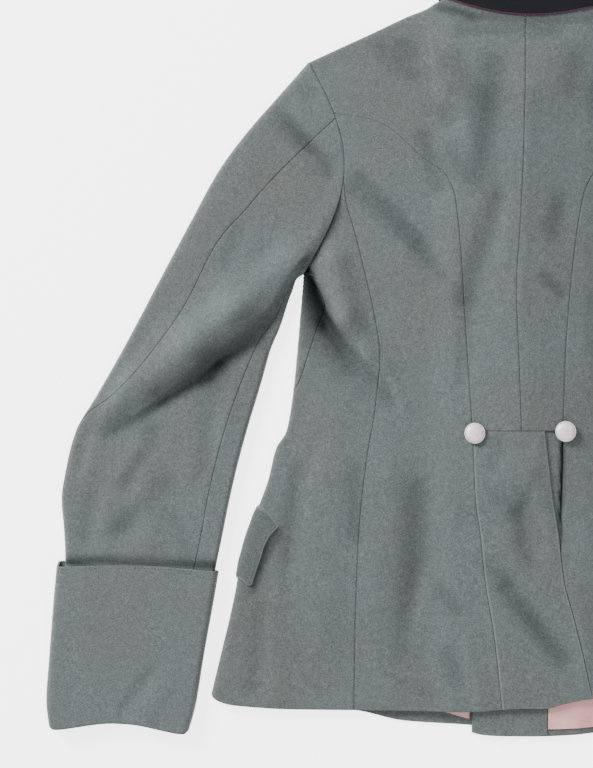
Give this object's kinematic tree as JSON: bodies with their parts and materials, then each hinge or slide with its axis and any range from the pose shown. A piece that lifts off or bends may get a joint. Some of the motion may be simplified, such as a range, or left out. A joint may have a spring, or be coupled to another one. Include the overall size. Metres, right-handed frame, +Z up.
{
  "type": "military tunic laid flat",
  "caption": "Waisted wool service tunic with deep turn-back cuffs, dark stand-and-fall collar, piping and domed buttons, laid flat with its back up",
  "frame": {"origin": "on the surface it lies on, under the middle of its outline", "axes": "+X across both sleeves, to the wearer's right as laid back up, +Y from hem to collar, +Z up from the surface"},
  "size_m": [0.95, 0.7586, 0.0256],
  "materials": {
    "tunic_cloth": "heathered grey-green wool with a short nap",
    "collar_cloth": "near-black badge cloth",
    "piping": "wine wool piping",
    "lining": "dusty pink satin lining",
    "button": "pale pebbled"
  },
  "bodies": {
    "root": {"back_button_left": "button", "back_button_right": "button", "back_left": "tunic_cloth", "back_right": "tunic_cloth", "collar_fall": "collar_cloth", "collar_piping": "piping", "collar_stand": "collar_cloth", "cuff_left": "tunic_cloth", "cuff_right": "tunic_cloth", "facing_right": "tunic_cloth", "front_button_1": "button", "front_button_2": "button", "front_button_3": "button", "front_button_4": "button", "front_button_5": "button", "front_button_6": "button", "front_left": "tunic_cloth", "front_right": "tunic_cloth", "lining_left": "lining", "lining_right": "lining", "pleat_left": "tunic_cloth", "pleat_right": "tunic_cloth", "pocket_flap_left": "tunic_cloth", "pocket_flap_right": "tunic_cloth", "side_back_left": "tunic_cloth", "side_back_right": "tunic_cloth", "side_panel_left": "tunic_cloth", "side_panel_right": "tunic_cloth", "sleeve_under_left": "tunic_cloth", "sleeve_under_right": "tunic_cloth", "sleeve_upper_left": "tunic_cloth", "sleeve_upper_right": "tunic_cloth", "tail_panel": "tunic_cloth"}
  },
  "joints": []
}
